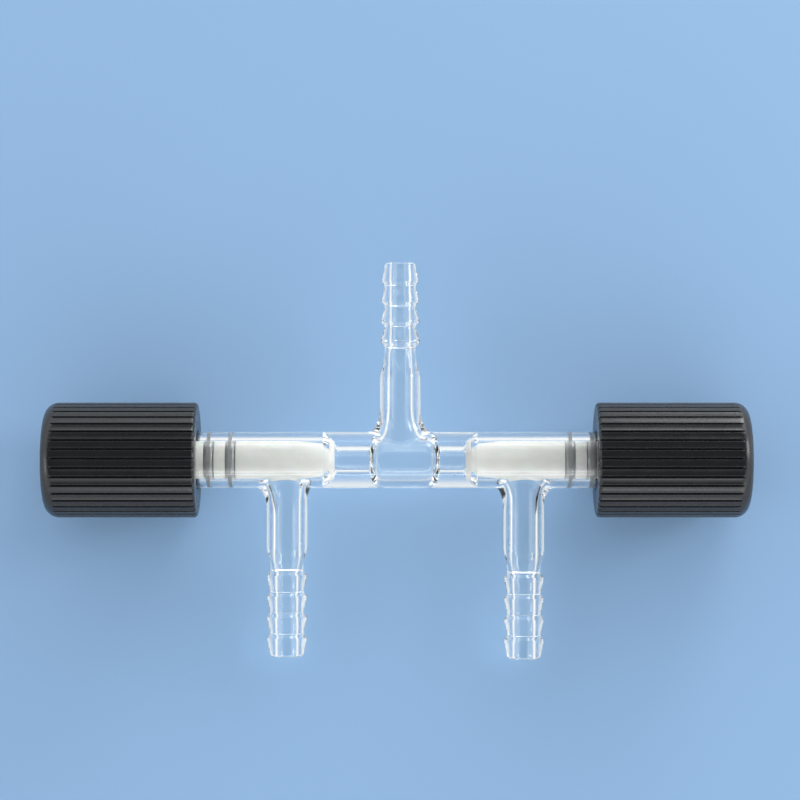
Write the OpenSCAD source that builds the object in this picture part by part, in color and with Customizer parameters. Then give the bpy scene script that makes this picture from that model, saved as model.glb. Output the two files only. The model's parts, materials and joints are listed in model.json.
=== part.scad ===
// Double glass stopcock: one blown glass body with three serrated hose arms, and a screw valve in each
// end of its barrel. Each valve is a white plug with two O-rings, drawn in and out by a ribbed knob.
//
// Everything is worked out in the frame of the glass: x runs along the barrel, y along the upper arm and
// z square to the plane of the arms. Then the whole part is laid down as it comes to rest on a bench,
// on its two knobs and its lower arms. Sizes are in millimetres.

/* [Barrel] */
// Outside diameter of the glass barrel
barrel_d = 14; // [13.5:0.1:15]
// Wall thickness of the barrel where the plugs slide
barrel_wall = 2; // [1.6:0.1:2.4]
// Distance from the middle of the barrel to its left end
left_half_len = 75.1; // [70:0.1:82]
// Distance from the middle of the barrel to its right end
right_half_len = 73.4; // [70:0.1:82]
// Diameter of the small port between each seat and the chamber
port_d = 5.2; // [4.4:0.1:5.6]
// Distance from the middle of the barrel to the inner end of each seat
seat_from_middle = 15.7; // [15:0.1:18]
// Angle between the seat's cone and the barrel's axis
seat_angle = 34; // [30:1:44]
// Radius of the melted edges at the barrel's ends
barrel_rim_round = 0.7; // [0.3:0.1:0.9]

/* [Chamber] */
// Diameter of the chamber in the middle of the barrel
chamber_d = 10; // [9:0.1:10.8]
// Length of the chamber
chamber_len = 17.1; // [12:0.1:18]
// How far the chamber's middle lies to the right of the upper arm
chamber_shift = 1.1; // [-1.5:0.1:1.5]
// Radius of the chamber's rounded ends
chamber_round = 2.4; // [1:0.1:4]

/* [Upper arm] */
// Length of the upper arm from the barrel's axis to its tip
upper_len = 49.2; // [44:0.1:60]
// Diameter of the upper arm's stem
upper_stem_d = 10.2; // [9.4:0.1:11]
// Diameter of the crest nearest the stem
upper_root_crest_d = 9.8; // [9:0.1:10.4]
// Diameter of the crest nearest the tip
upper_tip_crest_d = 9.1; // [8.4:0.1:10]
// Diameter of the waists between the crests
upper_waist_d = 7.7; // [7:0.1:8.2]
// Diameter of the upper arm's tip
upper_tip_d = 7.8; // [7:0.1:8.4]
// Radius of the melted edge at the upper arm's tip
upper_rim_round = 0.6; // [0.3:0.05:0.75]
// Distance from one crest to the next on the upper arm
upper_pitch = 5.1; // [4.5:0.1:5.8]
// Length over which the upper stem narrows to its first waist
upper_neck_len = 7.3; // [4:0.1:9]
// How far the glass drawn out round the foot of the upper arm spreads along the barrel
upper_foot_spread = 3; // [2:0.1:4]
// How far the glass drawn out round the foot of the upper arm climbs up the stem
upper_foot_climb = 6.4; // [3:0.1:7.5]
// Bore of the upper arm's stem
upper_stem_bore_d = 5.4; // [4:0.1:5.8]
// Bore of the upper arm between its crests and tip
upper_tip_bore_d = 4.5; // [3.4:0.1:4.8]
// Height over the barrel's axis where the upper arm's bore starts to widen into the chamber
upper_mouth_top = 13.2; // [9.5:0.1:14]
// Diameter of the upper arm's bore where it opens into the chamber
upper_mouth_d = 9; // [6.4:0.1:9.4]

/* [Lower arms] */
// Distance from the middle of the barrel to the left lower arm
left_arm_x = 28.3; // [27:0.1:32]
// Distance from the middle of the barrel to the right lower arm
right_arm_x = 30.9; // [27:0.1:32]
// Length of the lower arms from the barrel's axis to their tips
lower_len = 49; // [44:0.1:60]
// How much longer than the left one the right lower arm is
right_extra_len = 0.6; // [-2:0.1:2]
// Diameter of a lower arm's stem
lower_stem_d = 10.2; // [9.4:0.1:11]
// Diameter of the crests
lower_crest_d = 9.9; // [9.2:0.1:10.6]
// Diameter of the waists between the crests
lower_waist_d = 8.2; // [7.4:0.1:8.8]
// Diameter of a lower arm's tip
lower_tip_d = 8.6; // [8.2:0.1:9.2]
// Radius of the melted edge at a lower arm's tip
lower_rim_round = 0.8; // [0.3:0.05:0.9]
// Distance from one crest to the next on a lower arm
lower_pitch = 5.2; // [4.5:0.1:5.8]
// Length over which a lower stem narrows to its first waist
lower_neck_len = 5.6; // [4:0.1:8]
// How far the glass drawn out round the foot of a lower arm spreads along the barrel
lower_foot_spread = 2.2; // [1.2:0.1:3.2]
// How far the glass drawn out round the foot of a lower arm climbs along the stem
lower_foot_climb = 4.8; // [2:0.1:6]
// Bore of a lower arm's stem
lower_stem_bore_d = 6; // [4.4:0.1:6.2]
// Bore of a lower arm between its crests and tip
lower_tip_bore_d = 4.8; // [3.6:0.1:5]
// Height over the barrel's axis where a lower arm's bore starts to widen into the barrel
lower_mouth_top = 12; // [8:0.1:13]
// Diameter of a lower arm's bore where it opens into the barrel
lower_mouth_d = 8.6; // [6.4:0.1:9]

/* [All arms] */
// Number of crests on each arm
crest_count = 4; // [2:1:4]
// Distance from the last crest to the tip
tip_lead = 4.7; // [3.5:0.1:6]
// Length of the steep shoulder behind each crest
shoulder_len = 0.9; // [0.5:0.1:1.4]
// Length of the flat on top of each crest
crest_land = 0.35; // [0.2:0.05:0.6]
// How much narrower a stem is at its foot, where it was melted onto the barrel
foot_narrowing = 0.1; // [0.05:0.05:0.3]

/* [Plug] */
// Radial gap between the plug and the barrel's bore
plug_gap = 0.3; // [0.2:0.05:0.5]
// Gap between the plug's cone and its seat, measured along the barrel
seat_gap = 0.06; // [0.05:0.01:0.1]
// Diameter of the plug's flat tip
plug_tip_d = 6; // [5.8:0.1:6.6]
// Diameter of the plug where its cone ends and its taper starts
plug_nose_d = 7.8; // [7.2:0.1:8.4]
// Length of the taper between the cone and the plug's full diameter
plug_taper_len = 7; // [4:0.5:10]
// Diameter of the plug's tail, which turns in the knob
tail_d = 6.2; // [5.6:0.1:7]
// Length of the tail past the retaining ring
tail_end_len = 1.4; // [1:0.1:2]

/* [O-rings] */
// Thickness of an O-ring
ring_section = 2.2; // [1.8:0.1:2.4]
// Radial gap between an O-ring and the barrel's bore
ring_gap = 0.05; // [0.03:0.01:0.08]
// Distance from the plug's tip to the inner O-ring
ring_from_tip = 26; // [24:0.1:30]
// Distance between the two O-rings
ring_spacing = 5.4; // [4.5:0.1:6.5]
// How much wider an O-ring's groove is than the O-ring
groove_play = 0.4; // [0.2:0.1:0.8]

/* [Knob] */
// Diameter of a knob over its ribs
knob_d = 28.7; // [28:0.1:32]
// Length of a knob
knob_len = 38.1; // [36.5:0.1:42]
// Depth of the bore that the barrel's neck turns in
knob_bore_len = 26.5; // [22:0.1:28]
// Radial gap between the knob's bore and the barrel
knob_gap = 0.35; // [0.3:0.05:0.6]
// Thickness of the web that the plug's tail passes through
web_t = 4.6; // [3:0.1:5]
// Number of ribs round a knob
rib_count = 39; // [30:1:48]
// Width of the groove between two ribs
groove_w = 0.7; // [0.5:0.05:1]
// Depth of the groove between two ribs
groove_depth = 0.5; // [0.3:0.05:0.7]
// Length of the smooth band at the knob's outer end
band_len = 2.4; // [2:0.1:3.5]
// Radius of the knob's outer edge
knob_round = 3.5; // [2:0.1:4.5]
// Radius of the knob's edge at its mouth
mouth_round = 0.9; // [0.5:0.1:1.2]
// Bevel at the mouth of the knob's bore
mouth_bevel = 0.5; // [0.3:0.1:0.8]
// Radius of the recess behind the web
recess_r = 8; // [7:0.1:8.4]

/* [End cap] */
// Radius of the cap that closes the knob's recess
cap_r = 9; // [8.8:0.1:9.6]
// Thickness of the cap
cap_t = 2; // [1.5:0.1:2.5]
// Gap all round the cap
cap_gap = 0.05; // [0.02:0.01:0.1]
// Bevel round the cap's outer face
cap_bevel = 0.4; // [0.2:0.1:0.8]

/* [Washer and retaining ring] */
// Gap along the barrel between the knob's web and the pieces each side of it
end_play = 0.1; // [0.05:0.01:0.2]
// Radial gap between the plug's tail and the web
tail_gap = 0.05; // [0.03:0.01:0.08]
// Outside radius of the washer
washer_r = 5.8; // [5:0.1:6.4]
// Thickness of the washer
washer_t = 0.8; // [0.5:0.1:1]
// Outside radius of the retaining ring
clip_r = 5.2; // [4.6:0.1:6]
// Thickness of the retaining ring
clip_t = 0.8; // [0.6:0.1:1]
// Depth of the tail's groove that holds the retaining ring
clip_depth = 0.7; // [0.5:0.05:0.9]
// Angle of the retaining ring's opening
clip_open = 70; // [50:5:90]

/* [Hidden] */
$fn = 96;

barrel_r = barrel_d / 2;
bore_r = barrel_r - barrel_wall;
port_r = port_d / 2;
seat_slope = tan(seat_angle);
left_len = lower_len;
right_len = lower_len + right_extra_len;

// The plug: where its cone meets the seat, and how far it reaches
plug_r = bore_r - plug_gap;
plug_tip_r = plug_tip_d / 2;
plug_nose_r = min(plug_nose_d / 2, plug_r - 0.2);
function seat_u(r) = seat_from_middle + (r - port_r) / seat_slope + seat_gap;
tip_u = seat_u(plug_tip_r);
nose_u = seat_u(plug_nose_r);
inner_ring_u = tip_u + ring_from_tip;
outer_ring_u = inner_ring_u + ring_spacing;
ring_mid_r = bore_r - ring_gap - ring_section / 2;
ring_groove_r = ring_mid_r - ring_section / 2 - 0.03;
ring_groove_w = ring_section + groove_play;

// The knob stands this far off the end of the glass when the valve is shut
neck_clear = 2;
tail_r = tail_d / 2;
clip_groove_r = tail_r - clip_depth;
knob_r = knob_d / 2;
knob_bore_r = barrel_r + knob_gap;
function web_u(half_len) = half_len + neck_clear;
function mouth_u(half_len) = web_u(half_len) - knob_bore_len;
function shoulder_u(half_len) = web_u(half_len) - end_play;
function washer_u(half_len) = web_u(half_len) + web_t + end_play;
function clip_u(half_len) = washer_u(half_len) + washer_t;

// Height of the crest nearest the tip, and of crest i counted from the stem
function crest_h(len, pitch, i) = len - tip_lead - (crest_count - 1 - i) * pitch;

// Lying on its knobs, the glass rolls until a lower arm meets the bench: at the last crest or the tip
function roll_at(h, r, edge) =
    asin((knob_r - edge) / norm([h - edge, r - edge])) - atan2(r - edge, h - edge);
function arm_roll(len) = min(roll_at(len, lower_tip_d / 2, lower_rim_round),
                             roll_at(len - tip_lead + crest_land, lower_crest_d / 2, 0));
roll = min(arm_roll(left_len), arm_roll(right_len));

// The origin is the middle of the lying part's footprint, on the bench
left_end = web_u(left_half_len) - knob_bore_len + knob_len;
right_end = web_u(right_half_len) - knob_bore_len + knob_len;
middle_x = (right_end - left_end) / 2;
function arm_reach(len, tip_d, edge) =
    (len - edge) * cos(roll) + (tip_d / 2 - edge) * sin(roll) + edge;
middle_y = (arm_reach(upper_len, upper_tip_d, upper_rim_round)
            - arm_reach(max(left_len, right_len), lower_tip_d, lower_rim_round)) / 2;

// Points along an arc about centre c
function arc(c, r, from, to, steps = 6) =
    [for (i = [0 : steps]) let (a = from + (to - from) * i / steps) c + r * [cos(a), sin(a)]];

module laid_down() {
    translate([-middle_x, -middle_y, knob_r]) rotate([roll, 0, 0]) children();
}

// Turns a piece drawn along +z to point outwards along the barrel
module left_side() {
    laid_down() rotate([0, -90, 0]) children();
}
module right_side() {
    laid_down() rotate([0, 90, 0]) children();
}

// ---- Glass ----

// Outline of an arm from the barrel's axis to its tip, as [radius, height] points
function arm_outline(len, stem_r, root_r, last_r, waist_r, tip_r, edge, pitch, neck_len, climb) =
    let (first_waist = crest_h(len, pitch, 0) - shoulder_len, neck_steps = 5)
    concat(
        [[0, 0], [stem_r - foot_narrowing, 0], [stem_r, barrel_r + climb]],
        [for (i = [0 : neck_steps])
            let (t = i / neck_steps)
            [waist_r + (stem_r - waist_r) * pow(1 - t, 2), first_waist - neck_len * (1 - t)]],
        [for (i = [0 : crest_count - 1])
            let (h = crest_h(len, pitch, i),
                 r = root_r + (last_r - root_r) * i / max(crest_count - 1, 1),
                 last = i == crest_count - 1)
            each concat(
                [[r, h], [r, h + crest_land]],
                last ? [] : [[waist_r, h + pitch - shoulder_len]])],
        arc([tip_r - edge, len - edge], edge, 0, 90),
        [[0, len]]
    );

// Outline of the air inside an arm, a little longer than the arm
function arm_air(len, stem_r, tip_r, edge, pitch, mouth_top, mouth_r) =
    let (step_top = crest_h(len, pitch, 0),
         step_len = 3.6,
         rise = mouth_top - bore_r)
    concat(
        [[0, 0], [mouth_r, 0]],
        [for (i = [0 : 6])
            let (t = i / 6)
            [stem_r + (mouth_r - stem_r) * pow(1 - t, 2), bore_r + rise * t]],
        [[stem_r, step_top - step_len], [tip_r, step_top]],
        arc([tip_r + edge, len - edge], edge, 180, 90),
        [[tip_r + edge, len + 1], [0, len + 1]]
    );

// The saddle of glass drawn out where an arm grows out of the barrel, sunk a little into both tubes. Each
// section runs down the stem and out along the barrel in one hollow curve, drawn towards their corner.
module saddle(stem_r, spread, climb) {
    around = 48;
    across = 6;
    sink = 0.06;
    deep = 1.2;
    pull = 0.56;
    stem_in = stem_r - sink;
    barrel_in = barrel_r - sink;
    section = across + 2;
    function drop(r, off) = sqrt(r * r - off * off);
    points = [for (i = [0 : around - 1])
        let (a = 360 * i / around,
             out = [cos(a), sin(a), 0],
             head = stem_in * out + [0, 0, drop(barrel_r + climb - sink, (stem_r + climb) * sin(a))],
             corner = stem_in * out + [0, 0, drop(barrel_in, stem_in * sin(a))],
             lean = asin((stem_r + spread) * sin(a) / (barrel_r + spread)),
             foot = [(stem_r + spread) * cos(a), barrel_in * sin(lean), barrel_in * cos(lean)],
             low = head + pull * (corner - head),
             near = foot + pull * (corner - foot))
        each concat(
            [for (j = [0 : across])
                let (t = j / across, k = 1 - t)
                k * k * k * head + 3 * k * k * t * low + 3 * k * t * t * near + t * t * t * foot],
            [(stem_r - deep) * out + [0, 0, drop(barrel_r, stem_r * sin(a)) - deep]])];
    faces = [for (i = [0 : around - 1], j = [0 : section - 1])
        let (a = i * section, b = (i + 1) % around * section, k = (j + 1) % section)
        each [[a + j, b + k, a + k], [a + j, b + j, b + k]]];
    polyhedron(points, faces);
}

// Turns an arm drawn along +z to point up or down from the barrel
module up_arm() {
    rotate([-90, 0, 0]) children();
}
module down_arm(x) {
    translate([x, 0, 0]) rotate([90, 0, 0]) children();
}

module lower_arm_glass(len) {
    rotate_extrude()
        polygon(arm_outline(len, lower_stem_d / 2, lower_crest_d / 2, lower_crest_d / 2,
                            lower_waist_d / 2, lower_tip_d / 2, lower_rim_round, lower_pitch,
                            lower_neck_len, lower_foot_climb));
    saddle(lower_stem_d / 2, lower_foot_spread, lower_foot_climb);
}

module upper_arm_glass() {
    rotate_extrude()
        polygon(arm_outline(upper_len, upper_stem_d / 2, upper_root_crest_d / 2, upper_tip_crest_d / 2,
                            upper_waist_d / 2, upper_tip_d / 2, upper_rim_round, upper_pitch,
                            upper_neck_len, upper_foot_climb));
    saddle(upper_stem_d / 2, upper_foot_spread, upper_foot_climb);
}

module lower_arm_bore(len) {
    rotate_extrude()
        polygon(arm_air(len, lower_stem_bore_d / 2, lower_tip_bore_d / 2, lower_rim_round, lower_pitch,
                        lower_mouth_top, lower_mouth_d / 2));
}

module upper_arm_bore() {
    rotate_extrude()
        polygon(arm_air(upper_len, upper_stem_bore_d / 2, upper_tip_bore_d / 2, upper_rim_round,
                        upper_pitch, upper_mouth_top, upper_mouth_d / 2));
}

module barrel_glass() {
    edge = barrel_rim_round;
    rotate([0, 90, 0]) rotate_extrude()
        polygon(concat(
            [[0, -left_half_len]],
            arc([barrel_r - edge, edge - left_half_len], edge, -90, 0),
            arc([barrel_r - edge, right_half_len - edge], edge, 0, 90),
            [[0, right_half_len]]));
}

// The bore of one half of the barrel: the port, the cone of the seat, and the plug's bore
module half_bore(half_len) {
    edge = barrel_rim_round;
    rotate_extrude()
        polygon(concat(
            [[0, 0], [port_r, 0], [port_r, seat_from_middle],
             [bore_r, seat_from_middle + (bore_r - port_r) / seat_slope]],
            arc([bore_r + edge, half_len - edge], edge, 180, 90),
            [[bore_r + edge, half_len + 1], [0, half_len + 1]]));
}

module chamber() {
    r = chamber_d / 2;
    half = chamber_len / 2;
    edge = min(chamber_round, r - 0.5);
    translate([chamber_shift, 0, 0]) rotate([0, 90, 0]) rotate_extrude()
        polygon(concat(
            [[0, -half]],
            arc([r - edge, edge - half], edge, -90, 0),
            arc([r - edge, half - edge], edge, 0, 90),
            [[0, half]]));
}

module glass_body() {
    color("lightcyan", 0.4) laid_down() difference() {
        union() {
            barrel_glass();
            up_arm() upper_arm_glass();
            down_arm(-left_arm_x) lower_arm_glass(left_len);
            down_arm(right_arm_x) lower_arm_glass(right_len);
        }
        rotate([0, -90, 0]) half_bore(left_half_len);
        rotate([0, 90, 0]) half_bore(right_half_len);
        chamber();
        up_arm() upper_arm_bore();
        down_arm(-left_arm_x) lower_arm_bore(left_len);
        down_arm(right_arm_x) lower_arm_bore(right_len);
    }
}

// ---- One valve, drawn along +z away from the middle of the barrel ----

module plug(half_len) {
    shoulder = shoulder_u(half_len);
    clip = clip_u(half_len);
    tail_end = clip + clip_t + tail_end_len;
    side_play = 0.05;
    bevel = 0.4;
    function ring_groove(u) = [
        [plug_r, u - ring_groove_w / 2], [ring_groove_r, u - ring_groove_w / 2],
        [ring_groove_r, u + ring_groove_w / 2], [plug_r, u + ring_groove_w / 2]];
    color("ivory") rotate_extrude()
        polygon(concat(
            [[0, tip_u], [plug_tip_r, tip_u], [plug_nose_r, nose_u], [plug_r, nose_u + plug_taper_len]],
            ring_groove(inner_ring_u),
            ring_groove(outer_ring_u),
            [[plug_r, shoulder], [tail_r, shoulder],
             [tail_r, clip - side_play], [clip_groove_r, clip - side_play],
             [clip_groove_r, clip + clip_t + side_play], [tail_r, clip + clip_t + side_play],
             [tail_r, tail_end - bevel], [tail_r - bevel, tail_end], [0, tail_end]]));
}

module o_ring(u) {
    color("dimgray") translate([0, 0, u]) rotate_extrude()
        translate([ring_mid_r, 0]) circle(d = ring_section, $fn = 32);
}

module thrust_washer(half_len) {
    color("silver") translate([0, 0, washer_u(half_len)]) difference() {
        cylinder(r = washer_r, h = washer_t);
        translate([0, 0, -1]) cylinder(r = tail_r + 0.1, h = washer_t + 2);
    }
}

// A snap-on ring with three lugs that grip the tail's groove
module retaining_ring(half_len) {
    grip_r = clip_groove_r + 0.05;
    body_r = tail_r + 0.35;
    lug_w = 1.5;
    color("silver") translate([0, 0, clip_u(half_len)]) linear_extrude(clip_t) {
        difference() {
            circle(r = clip_r);
            circle(r = body_r);
            polygon([[0, 0],
                     2 * clip_r * [cos(clip_open / 2), -sin(clip_open / 2)],
                     2 * clip_r * [cos(clip_open / 2), sin(clip_open / 2)]]);
        }
        for (a = [90, 180, 270]) difference() {
            rotate(a) translate([0, -lug_w / 2]) square([(body_r + clip_r) / 2, lug_w]);
            circle(r = grip_r);
        }
    }
}

// The knob's direction that faces the bench is given as an angle, and a rib lies there
module knob(half_len, down) {
    mouth = mouth_u(half_len);
    outer_end = mouth + knob_len;
    web_in = web_u(half_len);
    web_out = web_in + web_t;
    cap_seat = outer_end - cap_t;
    color("#1b1c1e") difference() {
        rotate_extrude() polygon(concat(
            [[knob_bore_r + mouth_bevel, mouth]],
            arc([knob_r - mouth_round, mouth + mouth_round], mouth_round, -90, 0, 4),
            arc([knob_r - knob_round, outer_end - knob_round], knob_round, 0, 90, 8),
            [[cap_r + cap_gap, outer_end], [cap_r + cap_gap, cap_seat], [recess_r, cap_seat],
             [recess_r, web_out], [tail_r + tail_gap, web_out], [tail_r + tail_gap, web_in],
             [knob_bore_r, web_in], [knob_bore_r, mouth + mouth_bevel]]));
        rotate(down) rib_grooves(mouth - 1, outer_end - band_len);
    }
}

// V grooves cut along the knob, with a rib at angle 0
module rib_grooves(from, to) {
    reach = 1;
    wide = groove_w * (groove_depth + reach) / groove_depth;
    for (i = [0 : rib_count - 1])
        rotate(360 * (i + 0.5) / rib_count)
            translate([knob_r, 0, from])
                linear_extrude(to - from)
                    polygon([[-groove_depth, 0], [reach, -wide / 2], [reach, wide / 2]]);
}

module end_cap(half_len) {
    outer_end = mouth_u(half_len) + knob_len;
    color("#242527") rotate_extrude() polygon([
        [0, outer_end - cap_t], [cap_r, outer_end - cap_t], [cap_r, outer_end - cap_bevel],
        [cap_r - cap_bevel, outer_end], [0, outer_end]]);
}

// ---- Nodes ----

glass_body();
left_side() plug(left_half_len);  // left_plug
left_side() o_ring(inner_ring_u);  // left_inner_o_ring
left_side() o_ring(outer_ring_u);  // left_outer_o_ring
left_side() thrust_washer(left_half_len);  // left_thrust_washer
left_side() retaining_ring(left_half_len);  // left_retaining_ring
left_side() knob(left_half_len, 180 + roll);  // left_knob
left_side() end_cap(left_half_len);  // left_end_cap
right_side() plug(right_half_len);  // right_plug
right_side() o_ring(inner_ring_u);  // right_inner_o_ring
right_side() o_ring(outer_ring_u);  // right_outer_o_ring
right_side() thrust_washer(right_half_len);  // right_thrust_washer
right_side() retaining_ring(right_half_len);  // right_retaining_ring
right_side() knob(right_half_len, -roll);  // right_knob
right_side() end_cap(right_half_len);  // right_end_cap
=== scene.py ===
import json
import math

import bmesh
import bpy
import numpy as np
from mathutils import Matrix, Vector


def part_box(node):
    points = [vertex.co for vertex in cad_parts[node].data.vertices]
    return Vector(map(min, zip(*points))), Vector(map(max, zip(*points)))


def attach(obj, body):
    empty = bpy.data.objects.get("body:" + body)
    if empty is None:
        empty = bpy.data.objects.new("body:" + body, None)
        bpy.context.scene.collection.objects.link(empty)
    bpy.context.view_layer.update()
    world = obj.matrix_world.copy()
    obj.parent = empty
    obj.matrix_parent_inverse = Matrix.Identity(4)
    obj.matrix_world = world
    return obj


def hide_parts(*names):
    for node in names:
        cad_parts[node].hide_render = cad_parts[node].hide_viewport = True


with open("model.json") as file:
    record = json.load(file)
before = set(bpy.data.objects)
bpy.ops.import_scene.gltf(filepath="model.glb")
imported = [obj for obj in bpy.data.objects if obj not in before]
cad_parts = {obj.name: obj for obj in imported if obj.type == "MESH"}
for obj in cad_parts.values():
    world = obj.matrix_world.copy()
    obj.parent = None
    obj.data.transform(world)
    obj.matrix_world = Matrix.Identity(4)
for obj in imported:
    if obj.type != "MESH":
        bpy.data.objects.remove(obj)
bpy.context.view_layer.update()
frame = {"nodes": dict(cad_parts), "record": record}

# Double glass stopcock. Sizes are in millimetres, as in the part's source, and MM turns them into metres.
# Glass frame: x along the barrel, y along the upper arm, z square to the plane of the arms.
MM = 0.001

# ---- Where the part lies ----


def placed_mount(name):
    """The place and direction of one of the record's mounts."""
    for mount in frame["record"]["mounts"]:
        if mount["name"] == name:
            return np.array(mount["pos_m"]), np.array(mount["axis"])
    raise ValueError(name)


def box_mm(node):
    """Lowest and highest corners of a node, in millimetres."""
    low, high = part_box(node)
    return np.array(low) / MM, np.array(high) / MM


arm_place, arm_direction = placed_mount("upper_hose_arm")
ROLL = math.atan2(arm_direction[2], arm_direction[1])
cap_low, cap_high = box_mm("left_end_cap")
ORIGIN = np.array([arm_place[0] / MM, *((cap_low + cap_high) / 2)[1:]])
TURN = np.array([[1, 0, 0],
                 [0, math.cos(ROLL), -math.sin(ROLL)],
                 [0, math.sin(ROLL), math.cos(ROLL)]])


def laid_down(points):
    """Glass-frame millimetres to metres on the bench."""
    return (np.asarray(points, float) @ TURN.T + ORIGIN) * MM


# ---- Sizes, from the boxes of the solids and the source's own values ----
glass_low, glass_high = box_mm("glass_body")
LEFT_HALF = ORIGIN[0] - glass_low[0]
RIGHT_HALF = glass_high[0] - ORIGIN[0]
BARREL_R = 7.0
BORE_R = 5.0
PORT_R = 2.6
SEAT_U = 15.7
SEAT_SLOPE = math.tan(math.radians(34))
SEAT_TOP_U = SEAT_U + (BORE_R - PORT_R) / SEAT_SLOPE
RIM_ROUND = 0.7
LEFT_ARM_X = -28.3
RIGHT_ARM_X = 30.9

# Serrated ends of the arms
BORE_STEP = 3.6      # length over which the bore narrows
CREST_COUNT = 4
TIP_LEAD = 4.7       # from the last crest to the tip
TIP_EDGE = 0.9
SHOULDER = 0.9       # length of the steep side of a crest
CREST_LAND = 0.35    # flat top of a crest

PLUG_R = 4.7
PLUG_TIP_R = 3.0
PLUG_NOSE_R = 3.9
PLUG_TAPER = 7.0
TAIL_R = 3.1
RING_SECTION = 2.2
RING_FROM_TIP = 26.0
RING_SPACING = 5.4
RING_GROOVE_W = 2.6
RING_GROOVE_R = BORE_R - 0.05 - RING_SECTION - 0.03
SEAT_TOUCH = 0.075   # how much further than its solid the plug reaches, to close on the seat
SIDE_PLAY = 0.05
END_PLAY = 0.1
WASHER_T = 0.8
CLIP_T = 0.8
CLIP_GROOVE_R = 2.4

KNOB_R = 14.35
KNOB_BORE_R = 7.35
WEB_T = 4.6
RIB_COUNT = 39
GROOVE_DEPTH = 0.5
RIB_DISH = 0.09
BAND = 2.4
KNOB_ROUND = 3.5
MOUTH_ROUND = 0.9
RECESS_R = 8.0
CAP_R = 9.0
CAP_T = 2.0
NECK_CLEAR = 2.0     # from the end of the barrel's neck to the knob's web
TAIL_GAP = 0.05
CAP_GAP = 0.05
THREAD_PITCH = 2.5
THREAD_ROOT_R = 6.2
THREAD_LEAD = 0.9    # plain glass before a neck's thread
THREAD_FADE = 1.4    # length over which a thread's depth comes and goes
LEFT_THREAD_END = -56.6
RIGHT_THREAD_END = 55.0

ON_AXIS = 1e-4       # radius at which a turned outline ends on its axis
TURNED_COLUMNS = 96

def reach_of(node, side):
    """Where a node of one side's valve starts and ends, in millimetres out from the middle of the barrel."""
    low, high = box_mm(node)
    return sorted([(low[0] - ORIGIN[0]) * side, (high[0] - ORIGIN[0]) * side])


# ---- Shaping helpers ----


def softened(points, reach, steps=4):
    """A polyline with each corner replaced by a short curve that starts `reach` before it."""
    points = [np.array(p, float) for p in points]
    out = [points[0]]
    for before, corner, after in zip(points, points[1:], points[2:]):
        size = min(reach, 0.45 * np.linalg.norm(corner - before), 0.45 * np.linalg.norm(after - corner))
        start = corner + (before - corner) / np.linalg.norm(before - corner) * size
        end = corner + (after - corner) / np.linalg.norm(after - corner) * size
        for t in np.linspace(0, 1, steps + 1):
            out.append((1 - t) ** 2 * start + 2 * t * (1 - t) * corner + t ** 2 * end)
    out.append(points[-1])
    return np.array(out)


def subdivided(points, longest):
    """A polyline with extra points, so that no step is longer than `longest`."""
    out = [points[0]]
    for a, b in zip(points, points[1:]):
        n = max(1, math.ceil(np.linalg.norm(b - a) / longest - 1e-6))
        out += [a + (b - a) * i / n for i in range(1, n + 1)]
    return np.array(out)


def arc(centre, radius, start, end, steps):
    """Points on an arc, angles in degrees."""
    return [(centre[0] + radius * math.cos(math.radians(a)), centre[1] + radius * math.sin(math.radians(a)))
            for a in np.linspace(start, end, steps + 1)]


def drift(points, seed, reach, amount):
    """A small smooth wandering of hand-worked glass, the same for the same place."""
    rng = np.random.default_rng(seed)
    out = np.zeros_like(points)
    for _ in range(7):
        way = rng.normal(size=3)
        way *= 2 * math.pi / (np.linalg.norm(way) * rng.uniform(0.7, 1.6) * reach)
        out += np.sin((points @ way)[:, None] + rng.uniform(0, 2 * math.pi, 3)) * amount / 2.6
    return out


class Shell:
    """Grids of points, welded into one mesh."""

    def __init__(self):
        self.points, self.faces, self.values, self.count = [], [], [], 0

    def grid(self, rows, closed=False, values=None):
        """Rows of points, each row the same length; `closed` joins each row's last point to its first."""
        rows = np.asarray(rows, float)
        n, m = rows.shape[:2]
        index = np.arange(n * m).reshape(n, m) + self.count
        across = m if closed else m - 1
        j = np.arange(across)
        k = (j + 1) % m
        for i in range(n - 1):
            self.faces.append(np.stack([index[i, j], index[i, k], index[i + 1, k], index[i + 1, j]], 1))
        self.points.append(rows.reshape(-1, 3))
        self.values.append(np.zeros(n * m) if values is None else np.asarray(values, float).reshape(-1))
        self.count += n * m

    def mesh(self, name, attribute=None, recalc=True):
        """The welded mesh, its points still in the units of the grids."""
        weld = 2e-4
        points = np.concatenate(self.points)
        faces = np.concatenate(self.faces)
        made = bpy.data.meshes.new(name)
        made.from_pydata(points.tolist(), [], faces.tolist())
        if attribute:
            layer = made.attributes.new(attribute, "FLOAT", "POINT")
            layer.data.foreach_set("value", np.concatenate(self.values).astype(np.float32))
        work = bmesh.new()
        work.from_mesh(made)
        bmesh.ops.remove_doubles(work, verts=work.verts, dist=weld)
        bmesh.ops.dissolve_degenerate(work, edges=work.edges, dist=weld / 2)
        if recalc:
            bmesh.ops.recalc_face_normals(work, faces=work.faces)
        work.to_mesh(made)
        work.free()
        made.shade_smooth()
        return made


def moved(mesh, change):
    """Runs a function over all of a mesh's points at once."""
    points = np.zeros(len(mesh.vertices) * 3, np.float32)
    mesh.vertices.foreach_get("co", points)
    points = change(points.reshape(-1, 3).astype(float))
    mesh.vertices.foreach_set("co", points.astype(np.float32).ravel())
    mesh.update()
    return mesh


def with_outward_faces(mesh):
    """Turns all faces of a closed mesh outwards."""
    work = bmesh.new()
    work.from_mesh(mesh)
    bmesh.ops.recalc_face_normals(work, faces=work.faces)
    work.to_mesh(mesh)
    work.free()
    mesh.shade_smooth()
    return mesh


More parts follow.
